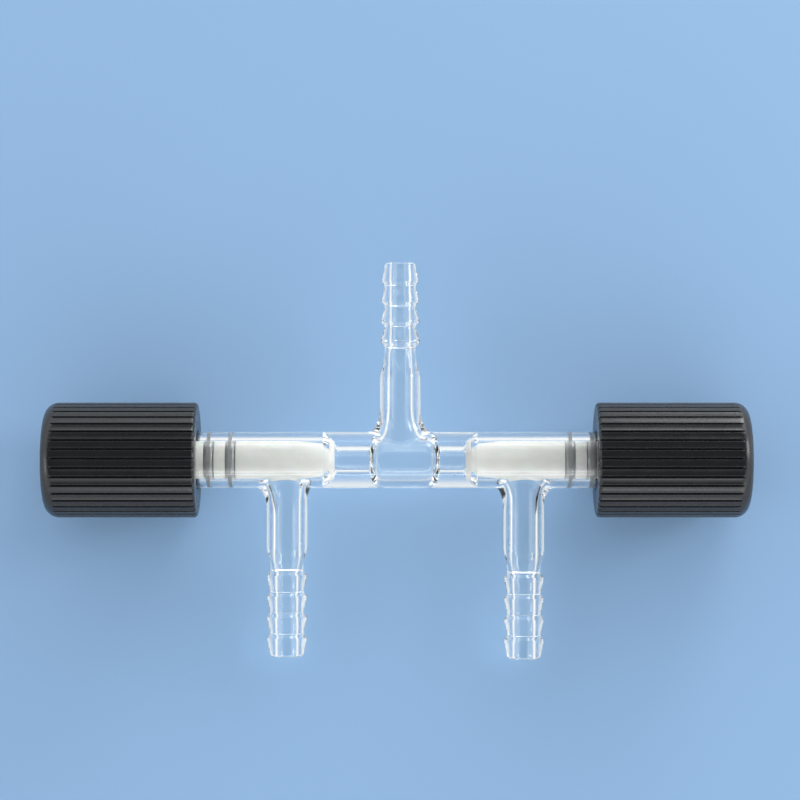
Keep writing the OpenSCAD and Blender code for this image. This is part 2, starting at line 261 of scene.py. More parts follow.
def piece(name, mesh, material, body, stands_for):
    """Adds a finished piece to the scene on its body, in place of the solids that it stands for."""
    mesh.name = name
    mesh.materials.clear()
    mesh.materials.append(material)
    obj = bpy.data.objects.new(name, mesh)
    bpy.context.scene.collection.objects.link(obj)
    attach(obj, body)
    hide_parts(*stands_for)


# ---- Materials ----


class Finish:
    """A node material, with its principled shader and short ways to add nodes to it."""

    def __init__(self, name):
        self.material = bpy.data.materials.new(name)
        self.material.use_nodes = True
        self.tree = self.material.node_tree
        self.shader = self.tree.nodes["Principled BSDF"]
        self.output = self.tree.nodes["Material Output"]
        self.coordinates = self.tree.nodes.new("ShaderNodeTexCoord").outputs["Object"]

    def node(self, kind, **values):
        made = self.tree.nodes.new(kind)
        for key, value in values.items():
            setattr(made, key, value)
        return made

    def link(self, source, target):
        self.tree.links.new(source, target)

    def set(self, **values):
        for key, value in values.items():
            self.shader.inputs[key.replace("_", " ")].default_value = value

    def stretched(self, scale):
        mapping = self.node("ShaderNodeMapping")
        mapping.inputs["Scale"].default_value = scale
        self.link(self.coordinates, mapping.inputs["Vector"])
        return mapping.outputs["Vector"]

    def noise(self, scale, detail=3.0, roughness=0.5, vector=None, distortion=0.0):
        made = self.node("ShaderNodeTexNoise")
        made.inputs["Scale"].default_value = scale
        made.inputs["Detail"].default_value = detail
        made.inputs["Roughness"].default_value = roughness
        made.inputs["Distortion"].default_value = distortion
        self.link(vector or self.coordinates, made.inputs["Vector"])
        return made.outputs["Fac"]

    def ranged(self, source, low, high, start=0.0, end=1.0):
        made = self.node("ShaderNodeMapRange")
        for key, value in (("From Min", start), ("From Max", end), ("To Min", low), ("To Max", high)):
            made.inputs[key].default_value = value
        self.link(source, made.inputs["Value"])
        return made.outputs["Result"]

    def blended(self, factor, a, b):
        made = self.node("ShaderNodeMix", data_type="RGBA")
        for socket, value in ((made.inputs[6], a), (made.inputs[7], b)):
            if isinstance(value, tuple):
                socket.default_value = (*value, 1)
            else:
                self.link(value, socket)
        self.link(factor, made.inputs[0])
        return made.outputs[2]

    def maths(self, operation, a, b):
        made = self.node("ShaderNodeMath", operation=operation)
        for socket, value in zip(made.inputs, (a, b)):
            if isinstance(value, (int, float)):
                socket.default_value = value
            else:
                self.link(value, socket)
        return made.outputs[0]

    def bumped(self, height, strength, distance, under=None):
        made = self.node("ShaderNodeBump")
        made.inputs["Strength"].default_value = strength
        made.inputs["Distance"].default_value = distance
        self.link(height, made.inputs["Height"])
        if under:
            self.link(under, made.inputs["Normal"])
        return made.outputs["Normal"]


def glass_finish():
    """Clear fire-polished borosilicate glass with the faint striae of drawn tube."""
    f = Finish("clear borosilicate glass")
    f.set(Base_Color=(0.985, 0.995, 0.99, 1), Transmission_Weight=1.0, IOR=1.473)
    haze = f.noise(90, 4)
    f.link(f.ranged(haze, 0.0, 0.012, 0.45, 0.8), f.shader.inputs["Roughness"])
    striae = f.noise(140, 2, vector=f.stretched((0.25, 1, 1)))
    f.link(f.bumped(striae, 0.06, 0.0001), f.shader.inputs["Normal"])
    path = f.node("ShaderNodeLightPath")
    clear = f.node("ShaderNodeBsdfTransparent")
    clear.inputs["Color"].default_value = (0.93, 0.95, 0.95, 1)
    mix = f.node("ShaderNodeMixShader")
    f.link(path.outputs["Is Shadow Ray"], mix.inputs[0])
    f.link(f.shader.outputs["BSDF"], mix.inputs[1])
    f.link(clear.outputs["BSDF"], mix.inputs[2])
    f.link(mix.outputs[0], f.output.inputs["Surface"])
    return f.material


def ptfe_finish():
    """White turned plastic: waxy, a little mottled, with fine rings from the lathe tool."""
    f = Finish("turned white plastic")
    mottle = f.noise(260, 5, 0.6)
    f.link(f.blended(f.ranged(mottle, 0, 1, 0.35, 0.7), (0.86, 0.845, 0.795), (0.92, 0.91, 0.875)),
           f.shader.inputs["Base Color"])
    f.set(IOR=1.38, Subsurface_Weight=0.2, Subsurface_Scale=0.0012)
    f.link(f.ranged(f.noise(900, 3), 0.34, 0.5), f.shader.inputs["Roughness"])
    rings = f.node("ShaderNodeTexWave", wave_type="BANDS", bands_direction="X")
    rings.inputs["Scale"].default_value = 950
    rings.inputs["Distortion"].default_value = 1.2
    rings.inputs["Detail"].default_value = 2
    rings.inputs["Detail Scale"].default_value = 0.4
    f.link(f.coordinates, rings.inputs["Vector"])
    turned = f.bumped(rings.outputs["Fac"], 0.25, 0.00003)
    f.link(f.bumped(mottle, 0.12, 0.00005, turned), f.shader.inputs["Normal"])
    return f.material


def rubber_finish():
    """Grey O-ring rubber, greased, with a fine skin."""
    f = Finish("greased grey rubber")
    patch = f.noise(420, 4, 0.6)
    f.link(f.blended(patch, (0.23, 0.235, 0.24), (0.33, 0.335, 0.335)), f.shader.inputs["Base Color"])
    f.set(Sheen_Weight=1.0, Sheen_Roughness=0.35, Coat_Weight=1.0, Coat_Roughness=0.22)
    f.link(f.ranged(patch, 0.2, 0.4), f.shader.inputs["Roughness"])
    f.link(f.bumped(f.noise(2600, 2), 0.15, 0.00003), f.shader.inputs["Normal"])
    return f.material


def black_finish(name, low, high, grain):
    """Black moulded plastic: fine grain, uneven gloss, and edges that are a little glossier from wear and
    carry a painted highlight in their lighter colour.
    """
    f = Finish(name)
    cloud = f.noise(70, 4, 0.55)
    wear_and_highlight = f.node("ShaderNodeAttribute", attribute_name="wear_and_highlight").outputs["Fac"]
    body = f.blended(cloud, (0.0065, 0.007, 0.0085), (0.011, 0.0118, 0.0135))
    # Painted highlight: where the attribute is high, on the rib edges, the base colour is lifted towards dark
    # grey.
    f.link(f.blended(f.maths("MULTIPLY", wear_and_highlight, f.ranged(cloud, 0.3, 1.0)), body, (0.03, 0.031, 0.034)),
           f.shader.inputs["Base Color"])
    gloss = f.ranged(f.noise(240, 5, 0.65), low, high, 0.3, 0.75)
    f.link(f.maths("SUBTRACT", gloss, f.maths("MULTIPLY", wear_and_highlight, 0.06)), f.shader.inputs["Roughness"])
    f.set(IOR=1.52)
    skin = f.bumped(f.noise(3800, 2), grain, 0.00002)
    f.link(f.bumped(cloud, 0.012, 0.0002, skin), f.shader.inputs["Normal"])
    return f.material


def steel_finish():
    """Bright spring steel with fine rolling marks."""
    f = Finish("spring steel")
    marks = f.noise(900, 3, vector=f.stretched((1, 0.08, 1)))
    f.link(f.blended(marks, (0.55, 0.55, 0.56), (0.68, 0.68, 0.69)), f.shader.inputs["Base Color"])
    f.set(Metallic=1.0)
    f.link(f.ranged(marks, 0.2, 0.4), f.shader.inputs["Roughness"])
    f.link(f.bumped(marks, 0.1, 0.00002), f.shader.inputs["Normal"])
    return f.material


glass_look = glass_finish()
ptfe_look = ptfe_finish()
rubber_look = rubber_finish()
knob_look = black_finish("semi-gloss black plastic", 0.2, 0.36, 0.03)
cap_look = black_finish("satin black plastic", 0.34, 0.5, 0.12)
steel_look = steel_finish()

# ---- Glass body ----
AROUND = 72          # columns round the barrel, 5 degrees each
PATCH_COLUMNS = 28   # columns of the patch that an arm grows from
PATCH_ROWS = 28
ARM_COLUMNS = 2 * (PATCH_COLUMNS + PATCH_ROWS)
STEP = 360 / AROUND
TWO_PI = 2 * math.pi


def thread_height(x, psi):
    """How far up the thread's side a point is: 1 on the crest and 0 in the root of a right-hand thread."""
    wave = np.cos(TWO_PI * x / THREAD_PITCH - psi)
    t = np.clip(0.5 + 0.95 * wave, 0, 1)
    return t * t * (3 - 2 * t)


class Tube:
    """A surface of revolution about the barrel's axis, given by its outline as [x, radius] points."""

    def __init__(self, outline):
        self.outline = np.asarray(outline, float)
        steps = np.linalg.norm(np.diff(self.outline, axis=0), axis=1)
        self.along = np.concatenate([[0], np.cumsum(steps)])

    def place_of(self, x):
        """Distance along the outline at which it passes x."""
        return np.interp(x, self.outline[:, 0], self.along)

    def at(self, s, psi):
        x = np.interp(s, self.along, self.outline[:, 0])
        r = np.interp(s, self.along, self.outline[:, 1])
        return np.stack([x, r * np.cos(psi), r * np.sin(psi)], -1)

    def normal(self, s, psi):
        d = 0.25
        x = np.interp([s - d, s + d], self.along, self.outline[:, 0])
        r = np.interp([s - d, s + d], self.along, self.outline[:, 1])
        dx, dr = x[1] - x[0], r[1] - r[0]
        n = np.stack([-dr, dx * np.cos(psi), dx * np.sin(psi)], -1)
        return n / np.linalg.norm(n, axis=-1, keepdims=True)


def patch_edge(s0, s1, centre):
    """Points of a patch's edge in [s, psi], from the middle of its far side and round towards psi rising."""
    half = PATCH_COLUMNS // 2
    rows = np.linspace(s0, s1, PATCH_ROWS + 1)
    columns = centre + np.radians(STEP) * np.arange(-half, half + 1)
    edge = [(s1, c) for c in columns[half:]]
    edge += [(r, columns[-1]) for r in rows[::-1][1:]]
    edge += [(s0, c) for c in columns[::-1][1:]]
    edge += [(r, columns[0]) for r in rows[1:]]
    edge += [(s1, c) for c in columns[1:half]]
    return np.array(edge)


ANGLES = np.arange(ARM_COLUMNS) * TWO_PI / ARM_COLUMNS


def arm_points(x0, up, radius, height, angle=ANGLES):
    """Points on an arm: up is 1 for the upper arm and -1 for a lower one."""
    return np.stack([x0 + radius * np.cos(angle), up * height + 0 * angle, up * radius * np.sin(angle)], -1)


RING_ROWS = 7
FILLET_ROWS = 9
FILLET_PULL = 0.56   # how far the fillet's handles reach towards its corner; 0.55 is a quarter circle


def junction(shell, tube, x0, up, stem_r, top, loop_s, loop_psi, patch):
    """Joins an arm to a tube: a ring of the tube's surface, then the drawn-up fillet to the arm's stem.

    top, loop_s and loop_psi give, for each column round the arm, the height at which the fillet leaves the
    stem and the place on the tube where it ends.
    """
    centre = 0.0 if up > 0 else math.pi
    edge = patch_edge(patch[0], patch[1], centre)
    loop = np.stack([loop_s, centre + loop_psi], 1)
    ring = []
    for t in np.linspace(0, 1, RING_ROWS + 1):
        at = edge + (loop - edge) * t
        ring.append(tube.at(at[:, 0], at[:, 1]))
    shell.grid(ring, closed=True)
    foot = ring[-1]
    head = arm_points(x0, up, stem_r, top)
    out = np.stack([np.cos(ANGLES), 0 * ANGLES, up * np.sin(ANGLES)], -1)
    down = np.array([0, -up, 0.0])
    rows = np.zeros((FILLET_ROWS + 1, ARM_COLUMNS, 3))
    for j in range(ARM_COLUMNS):
        n = tube.normal(loop[j, 0], np.array(loop[j, 1]))
        inward = (out[j] @ n) * n - out[j]
        inward /= np.linalg.norm(inward)
        # Distances from the foot and from the head to the corner that the fillet rounds off
        gap, slant = head[j] - foot[j], inward @ down
        least = 0.2 * np.linalg.norm(gap)
        along = (gap @ inward - (gap @ down) * slant) / (1 - slant ** 2)
        drop = along * slant - gap @ down
        a, d = foot[j], head[j]
        b, c = a + inward * FILLET_PULL * max(along, least), d + down * FILLET_PULL * max(drop, least)
        for i, t in enumerate(np.linspace(0, 1, FILLET_ROWS + 1)):
            rows[i, j] = (1 - t) ** 3 * a + 3 * t * (1 - t) ** 2 * b + 3 * t * t * (1 - t) * c + t ** 3 * d
    shell.grid(rows, closed=True)


def rolled(tube_r, stem_r, spread, climb):
    """Where the drawn glass in the corner of two crossed tubes ends.

    Gives its height on the stem, and its places along and round the tube, for each column round the arm.
    """
    side = (stem_r + spread) * np.sin(ANGLES)
    top = np.sqrt((tube_r + climb) ** 2 - ((stem_r + climb) * np.sin(ANGLES)) ** 2)
    return top, (stem_r + spread) * np.cos(ANGLES), np.arcsin(side / (tube_r + spread))


def leaning(left, right):
    """A size round an arm that changes evenly from its left side to its right side."""
    return (left + right) / 2 + (right - left) / 2 * np.cos(ANGLES)


def tube_rows(shell, tube, places, skip=()):
    """Rows of a tube at the given places, left out over each patch in skip, given as (s0, s1, centre)."""
    psi = np.radians(STEP) * np.arange(AROUND)
    for s0, s1 in zip(places, places[1:]):
        rows = np.stack([tube.at(np.full(AROUND, s), psi) for s in (s0, s1)])
        cut = [c for a, b, c in skip if a - 1e-6 <= s0 and s1 <= b + 1e-6]
        if not cut:
            shell.grid(rows, closed=True)
            continue
        half = PATCH_COLUMNS // 2
        first = int(round(math.degrees(cut[0]) / STEP)) + half
        index = (first + np.arange(AROUND - PATCH_COLUMNS + 1)) % AROUND
        shell.grid(rows[:, index])


CREST_SOFT = 0.42
ARM_STEP = 1.4       # longest step along an arm
STRAIGHT = 0.8       # plain tube between a fillet and what follows it


def arm_outline(size):
    """Outside of an arm above its fillet, from stem to tip, as [radius, height] points."""
    first = size["len"] - TIP_LEAD - (CREST_COUNT - 1) * size["pitch"]
    waist_r, stem_r = size["waist_d"] / 2, size["stem_d"] / 2
    neck_top = first - SHOULDER
    outline = [(stem_r, neck_top - size["neck"] - 2)]
    for t in np.linspace(0, 1, 9):
        outline.append((waist_r + (stem_r - waist_r) * (1 - t) ** 2, neck_top - size["neck"] * (1 - t)))
    for i in range(CREST_COUNT):
        h = first + i * size["pitch"]
        r = size["crest_d"][0] / 2 + (size["crest_d"][1] - size["crest_d"][0]) / 2 * i / (CREST_COUNT - 1)
        outline += [(r, h), (r, h + CREST_LAND)]
        if i < CREST_COUNT - 1:
            outline.append((waist_r, h + size["pitch"] - SHOULDER))
    tip_r = size["tip_d"] / 2
    outline.append((tip_r, size["len"] - TIP_EDGE))
    return softened(outline, CREST_SOFT), tip_r


def arm(shell, size, outer_top, inner_top):
    """One arm from its outer fillet over the melted rim and down its bore to the inner flare."""
    outline, tip_r = arm_outline(size)
    length, x0, up = size["len"], size["x"], size["up"]
    stem_r = size["stem_d"] / 2
    edge = size["rim"]
    rim = arc((tip_r - edge, length - edge), edge, 0, 90, 5)
    bore_r, tip_bore_r = size["bore_r"], size["tip_bore_r"]
    rim += arc((tip_bore_r + edge, length - edge), edge, 90, 180, 5)
    step_top = length - TIP_LEAD - (CREST_COUNT - 1) * size["pitch"]
    start = float(np.max(outer_top)) + STRAIGHT
    keep = outline[outline[:, 1] > start + 0.3]
    outer = subdivided(np.concatenate([[(stem_r, start)], keep, rim[1:]]), ARM_STEP)
    end = float(np.max(inner_top)) + STRAIGHT
    bore = softened([rim[-1], (tip_bore_r, step_top), (bore_r, step_top - BORE_STEP), (bore_r, end)], 1.2)
    inner = subdivided(bore, ARM_STEP)
    rows = [arm_points(x0, up, stem_r, outer_top + (start - outer_top) * t) for t in (0, 0.5)]
    rows += [arm_points(x0, up, r, h) for r, h in outer]
    rows += [arm_points(x0, up, r, h) for r, h in inner[1:]]
    rows += [arm_points(x0, up, bore_r, end + (inner_top - end) * t) for t in (0.5, 1)]
    shell.grid(rows, closed=True)


lower = dict(up=-1, stem_d=10.2, crest_d=(10.0, 10.0), waist_d=8.2, tip_d=8.6, pitch=5.2, neck=5.6, rim=0.8,
             bore_r=3.0, tip_bore_r=2.4)
ARMS = [
    dict(lower, x=LEFT_ARM_X, len=49.0, spread=leaning(2.8, 1.1), climb=leaning(5.2, 3.7),
         mouth_spread=leaning(2.9, 1.2), mouth_climb=leaning(8.0, 6.0)),
    dict(up=1, x=0.0, len=49.2, stem_d=10.2, crest_d=(9.9, 9.1), waist_d=7.7, tip_d=7.8, pitch=5.1, neck=7.3,
         rim=0.6, bore_r=2.7, tip_bore_r=2.25, spread=leaning(3.0, 3.0), climb=leaning(6.5, 6.2)),
    dict(lower, x=RIGHT_ARM_X, len=49.6, spread=leaning(2.0, 2.9), climb=leaning(6.2, 4.2),
         mouth_spread=leaning(2.6, 3.2), mouth_climb=leaning(5.6, 6.0)),
]

# Outer and inner outlines of the barrel, left to right
outer_tube = Tube([(-LEFT_HALF + RIM_ROUND, BARREL_R), (RIGHT_HALF - RIM_ROUND, BARREL_R)])
CHAMBER_LOW, CHAMBER_HIGH, CHAMBER_R = -7.45, 9.65, 5.0
CHAMBER_ROUND, CHAMBER_BLOWN = 2.0, 3.4   # the chamber's rounded ends, across and along the barrel
PORT_ROUND, SEAT_SOFT = 0.35, 0.4
left_bore = softened([
    (-LEFT_HALF + RIM_ROUND, BORE_R), (-SEAT_TOP_U, BORE_R), (-SEAT_U, PORT_R),
    (CHAMBER_LOW - PORT_ROUND, PORT_R)], SEAT_SOFT)
right_bore = softened([
    (CHAMBER_HIGH + PORT_ROUND, PORT_R), (SEAT_U, PORT_R), (SEAT_TOP_U, BORE_R),
    (RIGHT_HALF - RIM_ROUND, BORE_R)], SEAT_SOFT)
inner_outline = (
    list(map(tuple, left_bore))
    + arc((CHAMBER_LOW - PORT_ROUND, PORT_R + PORT_ROUND), PORT_ROUND, -90, 0, 4)[1:]
    + [(CHAMBER_LOW + CHAMBER_BLOWN * (1 - math.cos(a)), CHAMBER_R - CHAMBER_ROUND * (1 - math.sin(a)))
       for a in np.linspace(0, math.pi / 2, 11)]
    + [(CHAMBER_HIGH - CHAMBER_BLOWN * (1 - math.sin(a)), CHAMBER_R - CHAMBER_ROUND * (1 - math.cos(a)))
       for a in np.linspace(0, math.pi / 2, 11)]
    + arc((CHAMBER_HIGH + PORT_ROUND, PORT_R + PORT_ROUND), PORT_ROUND, 180, 270, 4)
    + list(map(tuple, right_bore[1:])))
inner_tube = Tube(inner_outline)


THREAD_STEP = 0.22   # row spacing over the threads, along the plain barrel and inside it
BARREL_STEP = 1.4
INSIDE_STEP = 1.6
SAME = 1e-6          # places nearer than this are one place


def build_glass():
    """The glass body in its own frame: both walls of the barrel, three arms and the melted rims."""
    shell = Shell()
    outer_patches, inner_patches = [], []
    outer_half, inner_half = 12.0, 6.6   # half lengths of the patches that the arms grow from
    for size in ARMS:
        x0, up, stem_r = size["x"], size["up"], size["stem_d"] / 2
        centre = 0.0 if up > 0 else math.pi
        top, along, psi = rolled(BARREL_R, stem_r, size["spread"], size["climb"])
        s_mid = float(outer_tube.place_of(x0))
        patch = (s_mid - outer_half, s_mid + outer_half)
        junction(shell, outer_tube, x0, up, stem_r, top, s_mid + along, psi, patch)
        outer_patches.append((*patch, centre))
        if up > 0:
            low = float(inner_tube.place_of(CHAMBER_LOW + 0.35))
            high = float(inner_tube.place_of(CHAMBER_HIGH - 0.35))
            inner_s = float(inner_tube.place_of(0.0)) + leaning(5.4, 6.3) * np.cos(ANGLES)
            inner_psi = np.radians(50) * np.sin(ANGLES)
            inner_top = 12.6 - 2.4 * np.sin(ANGLES) ** 2
        else:
            inner_top, in_along, inner_psi = rolled(BORE_R, size["bore_r"], size["mouth_spread"],
                                                    size["mouth_climb"])
            middle = float(inner_tube.place_of(x0))
            low, high = middle - inner_half, middle + inner_half
            inner_s = middle + in_along
        junction(shell, inner_tube, x0, up, size["bore_r"], inner_top, inner_s, inner_psi, (low, high))
        inner_patches.append((low, high, centre))
        arm(shell, size, top, inner_top)

    # Outside of the barrel: even rows, the patches' own rows, and fine rows over the threads
    beyond = 0.6   # how far the fine rows run past each thread
    thread_ends = [(-LEFT_HALF + RIM_ROUND, LEFT_THREAD_END + beyond),
                   (RIGHT_THREAD_END - beyond, RIGHT_HALF - RIM_ROUND)]
    offset = LEFT_HALF - RIM_ROUND
    marks = sorted([0, outer_tube.along[-1]]
                   + [m + offset for pair in thread_ends for m in pair]
                   + [m for a, b, _ in outer_patches for m in (a, b)])
    places = []
    for a, b in zip(marks, marks[1:]):
        if any(abs(a - p[0]) < SAME for p in outer_patches):
            n = PATCH_ROWS
        elif any(lo - SAME <= a - offset and b - offset <= hi + SAME for lo, hi in thread_ends):
            n = math.ceil((b - a) / THREAD_STEP)
        else:
            n = math.ceil((b - a) / BARREL_STEP)
        places += list(np.linspace(a, b, n + 1)[:-1])
    places.append(marks[-1])
    tube_rows(shell, outer_tube, places, outer_patches)

    # Inside: every corner of the outline, and the patches' own rows
    marks = sorted(set([float(m) for m in inner_tube.along]
                       + [m for a, b, _ in inner_patches for m in (a, b)]))
    inside = [m for m in marks if not any(a + SAME < m < b - SAME for a, b, _ in inner_patches)]
    places = []
    for a, b in zip(inside, inside[1:]):
        over = any(abs(a - p[0]) < SAME for p in inner_patches)
        n = PATCH_ROWS if over else max(1, math.ceil((b - a) / INSIDE_STEP))
        places += list(np.linspace(a, b, n + 1)[:-1])
    places.append(inside[-1])
    tube_rows(shell, inner_tube, places, inner_patches)

    # Melted rims at the barrel's ends
    psi = np.radians(STEP) * np.arange(AROUND)
    for side, half in ((-1, LEFT_HALF), (1, RIGHT_HALF)):
        rim = arc((half - RIM_ROUND, BARREL_R - RIM_ROUND), RIM_ROUND, 90, 0, 6)
        rim += arc((half - RIM_ROUND, BORE_R + RIM_ROUND), RIM_ROUND, 0, -90, 6)
        shell.grid([np.stack([np.full(AROUND, side * x), r * np.cos(psi), r * np.sin(psi)], -1)
                    for x, r in rim], closed=True)
    return shell.mesh("glass")


def work_the_glass(points):
    """Cuts the necks' threads and adds the small wandering of hand-worked glass."""
    x, y, z = points.T
    r = np.hypot(y, z)
    psi = np.arctan2(z, y)
    outside = r > 6.9
    # The wandering dies out at the arms' tips, at the barrel's ends and in the bore that the plugs fit
    tips = np.clip((47.0 - np.abs(y)) / 3, 0, 1)
    ends = np.clip((52.0 - np.abs(x)) / 4, 0, 1)
    bore = (r < 5.2) & (np.abs(x - (CHAMBER_LOW + CHAMBER_HIGH) / 2) > 8.5)
    calm = tips * ends * np.where(bore, 0.0, 1.0)
    wander = drift(points, 11, 17, 0.03) * calm[:, None]
    for low, high in ((-LEFT_HALF + THREAD_LEAD, LEFT_THREAD_END),
                      (RIGHT_THREAD_END, RIGHT_HALF - THREAD_LEAD)):
        fade = np.clip((x - low) / THREAD_FADE, 0, 1) * np.clip((high - x) / THREAD_FADE, 0, 1)
        depth = (BARREL_R - THREAD_ROOT_R) * (1 - thread_height(x, psi)) * fade
        cut = np.where(outside & (np.abs(x) > 50), depth, 0)
        scale = (r - cut) / np.maximum(r, 1e-6)
        y, z, r = y * scale, z * scale, r - cut
    return np.stack([x, y, z], 1) + wander


glass_mesh = moved(moved(build_glass(), work_the_glass), laid_down)
piece("blown_glass_body", glass_mesh, glass_look, "glass", ["glass_body"])

# ---- Valves ----


def turned_mesh(name, outline, closed=False):
    """A turned piece drawn along u, from an outline of [radius, u] points."""
    shell = Shell()
    angle = np.arange(TURNED_COLUMNS) * TWO_PI / TURNED_COLUMNS
    rows = []
    for r, u in outline:
        rows.append(np.stack([np.full(TURNED_COLUMNS, u), r * np.cos(angle), r * np.sin(angle)], -1))
    if closed:
        rows.append(rows[0])
    shell.grid(rows, closed=True)
    return shell.mesh(name)


def to_side(side):
    """Points drawn along u, as [u, toward the upper arm, across], into the glass frame."""
    return lambda p: laid_down(np.stack([side * p[:, 0], p[:, 1], side * p[:, 2]], 1))


def plug_outline(tip_u, shoulder_u, clip_u, tail_u):
    """Plug from its tip over the cone, the O-ring grooves and the clip's groove to the end of its tail."""
    ring_u = tip_u + RING_FROM_TIP
    nose_u = tip_u + (PLUG_NOSE_R - PLUG_TIP_R) / SEAT_SLOPE
    outline = [(ON_AXIS, tip_u), (PLUG_TIP_R, tip_u), (PLUG_NOSE_R, nose_u), (PLUG_R, nose_u + PLUG_TAPER)]
    for u in (ring_u, ring_u + RING_SPACING):
        a, b = u - RING_GROOVE_W / 2, u + RING_GROOVE_W / 2
        outline += [(PLUG_R, a), (RING_GROOVE_R, a), (RING_GROOVE_R, b), (PLUG_R, b)]
    groove_from, groove_to, bevel = clip_u - SIDE_PLAY, clip_u + CLIP_T + SIDE_PLAY, 0.3
    outline += [(PLUG_R, shoulder_u), (TAIL_R, shoulder_u),
                (TAIL_R, groove_from), (CLIP_GROOVE_R, groove_from),
                (CLIP_GROOVE_R, groove_to), (TAIL_R, groove_to),
                (TAIL_R, tail_u - bevel), (TAIL_R - bevel, tail_u), (ON_AXIS, tail_u)]
    return subdivided(softened(outline, 0.16, 3), 2.5)


def o_ring_outline(u):
    """A squeezed O-ring: flat where it wets the bore and where it sits in its groove."""
    outer, inner = BORE_R + 0.012, RING_GROOVE_R - 0.01
    middle, half = (outer + inner) / 2, (outer - inner) / 2
    out = []
    for a in np.linspace(0, TWO_PI, 40, endpoint=False):
        r = math.sin(a) * (half + 0.08)
        w = math.cos(a) * (RING_GROOVE_W / 2 + 0.07)
        out.append((middle + max(-half, min(half, r)), u + w))
    return out


for side, name, half in ((-1, "left", LEFT_HALF), (1, "right", RIGHT_HALF)):
    tip_u, tail_u = reach_of(f"{name}_plug", side)
    web_u = half + NECK_CLEAR
    clip_u = web_u + WEB_T + END_PLAY + WASHER_T
    plug_mesh = turned_mesh("plug", plug_outline(tip_u - SEAT_TOUCH, web_u - END_PLAY, clip_u, tail_u))
    piece(f"{name}_turned_plug", moved(plug_mesh, to_side(side)), ptfe_look, f"{name}_stem",
          [f"{name}_plug"])
    for which, extra in (("inner", 0.0), ("outer", RING_SPACING)):
        ring = turned_mesh("ring", o_ring_outline(tip_u + RING_FROM_TIP + extra), closed=True)
        piece(f"{name}_{which}_squeezed_ring", moved(ring, to_side(side)), rubber_look, f"{name}_stem",
              [f"{name}_{which}_o_ring"])
    for node in ("thrust_washer", "retaining_ring"):
        solid = frame["nodes"][f"{name}_{node}"]
        solid.data.materials.clear()
        solid.data.materials.append(steel_look)

# ---- Knobs ----


def knob_outline(mouth, outer_end, web_in):
    """Wall of a knob from the web's hole, out through the bore and mouth, to the recess, as [r, u] points."""
    web_out = web_in + WEB_T
    inside = softened([
        (TAIL_R + TAIL_GAP, web_out), (TAIL_R + TAIL_GAP, web_in), (KNOB_BORE_R, web_in),
        (KNOB_BORE_R, mouth + 0.5), (KNOB_BORE_R + 0.5, mouth), (KNOB_R - MOUTH_ROUND - 0.4, mouth)], 0.12, 2)
    inside = subdivided(inside, 6)
    mouth_arc = arc((KNOB_R - MOUTH_ROUND, mouth + MOUTH_ROUND), MOUTH_ROUND, -90, 0, 6)
    straight = [(KNOB_R, u) for u in np.linspace(mouth + MOUTH_ROUND, outer_end - KNOB_ROUND, 9)[1:-1]]
    outer_arc = arc((KNOB_R - KNOB_ROUND, outer_end - KNOB_ROUND), KNOB_ROUND, 0, 90, 18)
    end = softened([outer_arc[-1], (CAP_R + 0.2, outer_end), (CAP_R + CAP_GAP, outer_end - 0.15),
                    (CAP_R + CAP_GAP, outer_end - CAP_T), (RECESS_R, outer_end - CAP_T), (RECESS_R, web_out),
                    (TAIL_R + TAIL_GAP, web_out)], 0.08, 2)
    outline = list(map(tuple, inside)) + mouth_arc + straight + outer_arc + list(map(tuple, end[1:]))
    return np.array(outline)


RIB_WIDTH = TWO_PI * KNOB_R / RIB_COUNT
# Places across one rib, as shares of its half width from a groove's middle to the rib's middle
RIB_PLACES = np.array([-1, -0.95, -0.9, -0.84, -0.78, -0.72, -0.66, -0.58, -0.46, -0.32, -0.16, 0,
                       0.16, 0.32, 0.46, 0.58, 0.66, 0.72, 0.78, 0.84, 0.9, 0.95, 1])


def groove_profile(across):
    """Depth below the knob's full radius over a dished rib and its groove, and how much wear and painted
    highlight the place gets.
    """
    gap = (1 - np.abs(across)) * RIB_WIDTH / 2
    t = np.clip(1 - (gap - 0.05) / 0.3, 0, 1)
    dish = RIB_DISH * (1 - np.minimum(1, (across / 0.7) ** 2))
    depth = GROOVE_DEPTH * t * t * (3 - 2 * t) + dish
    # The painted highlight and the wear run along each rib's edges, beside the groove.
    wear_and_highlight = np.exp(-((gap - 0.42) / 0.12) ** 2)
    return depth, wear_and_highlight


def rib_sector(mouth, outer_end, web_in):
    """One rib's share of the knob, about the x axis, with u along x."""
    outline = knob_outline(mouth, outer_end, web_in)
    depth, wear_and_highlight = groove_profile(RIB_PLACES)
    angle = RIB_PLACES * math.pi / RIB_COUNT
    rows, values = [], []
    for r, u in outline:
        ramp = min(max((outer_end - BAND - u) / 0.9, 0), 1)
        ramp = ramp * ramp * (3 - 2 * ramp)
        skin = min(max((r - (KNOB_R - 2.6)) / 0.9, 0), 1) if u > mouth + 0.01 or r > KNOB_R - 2 else 0
        cut = depth * ramp * skin
        radius = r - cut
        rows.append(np.stack([np.full(len(angle), u), radius * np.cos(angle), radius * np.sin(angle)], -1))
        # The painted highlight and the wear are strongest where the ribs end at the mouth.
        near_mouth = math.exp(-((u - mouth - 0.6) / 0.7) ** 2)
        values.append(wear_and_highlight * ramp * skin * (0.55 + 0.45 * near_mouth))
    shell = Shell()
    shell.grid(rows, values=values)
    return shell.mesh("rib sector", attribute="wear_and_highlight", recalc=False)


def socket_of(tree, name, kind, default=None):
    """Adds a named input to a geometry tree and gives its identifier."""
    made = tree.interface.new_socket(name, in_out="INPUT", socket_type=kind)
    if default is not None:
        made.default_value = default
    return made.identifier


